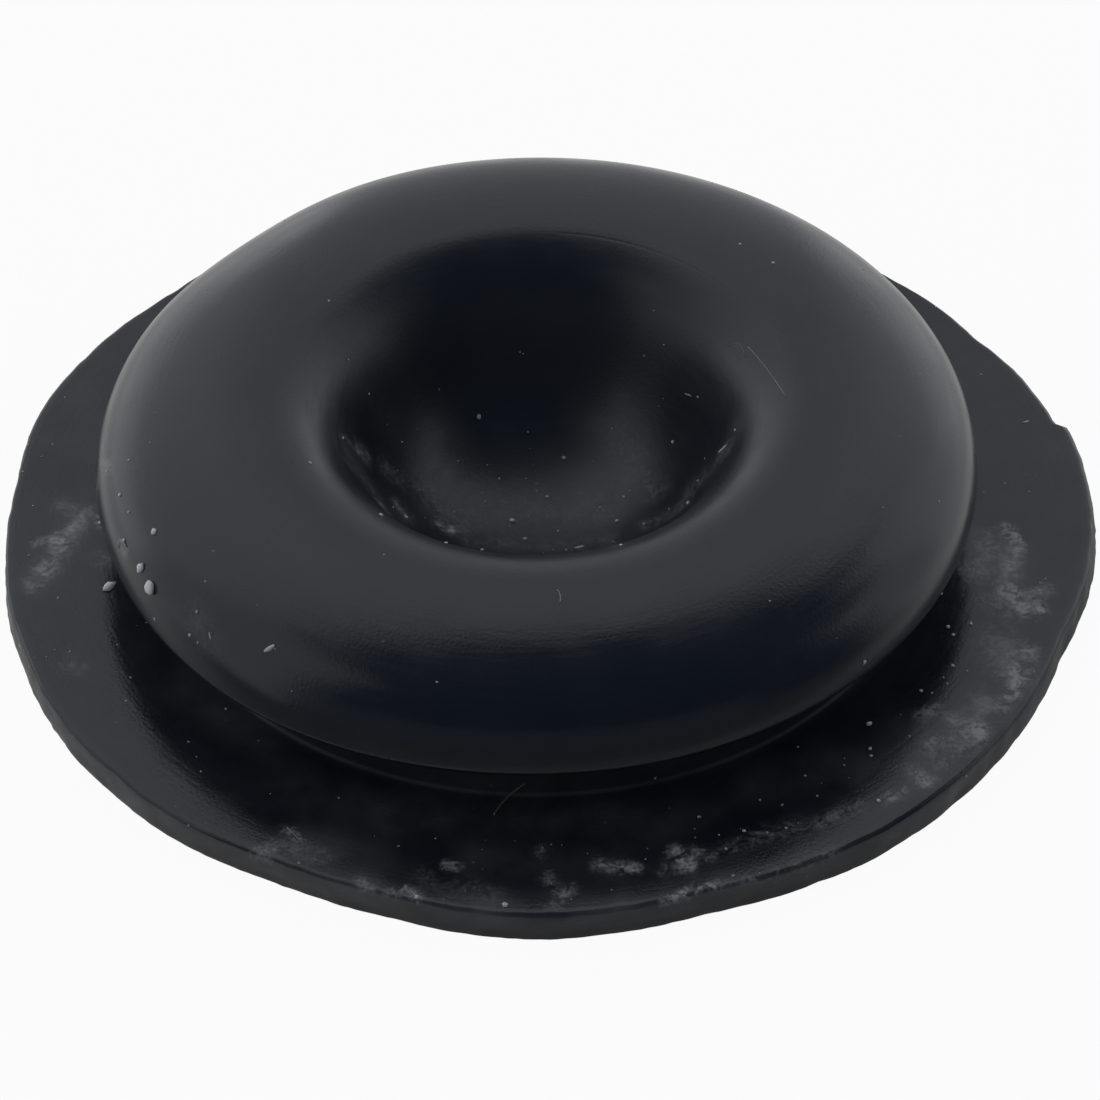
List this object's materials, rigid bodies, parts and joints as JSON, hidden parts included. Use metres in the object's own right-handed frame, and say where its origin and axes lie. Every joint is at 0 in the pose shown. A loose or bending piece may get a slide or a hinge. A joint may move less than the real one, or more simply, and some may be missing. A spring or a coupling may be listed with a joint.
{
  "type": "rubber body plug",
  "caption": "Round black rubber plug with a thin flange, a panel groove and a rounded retaining bead around a bowl-shaped recess; snaps into a hole in sheet metal to close it.",
  "frame": {"origin": "middle of the flange's flat underside, on the plug's axis", "axes": "+Z along the plug's axis from the flange towards the bead; +X towards the untrimmed tail of the flange's edge; the picture looks along +Y and down"},
  "size_m": [0.0289, 0.0284, 0.0052],
  "materials": {
    "black_rubber": "satin moulded, dusty"
  },
  "bodies": {
    "root": {"plug_body": "black_rubber"}
  },
  "joints": []
}
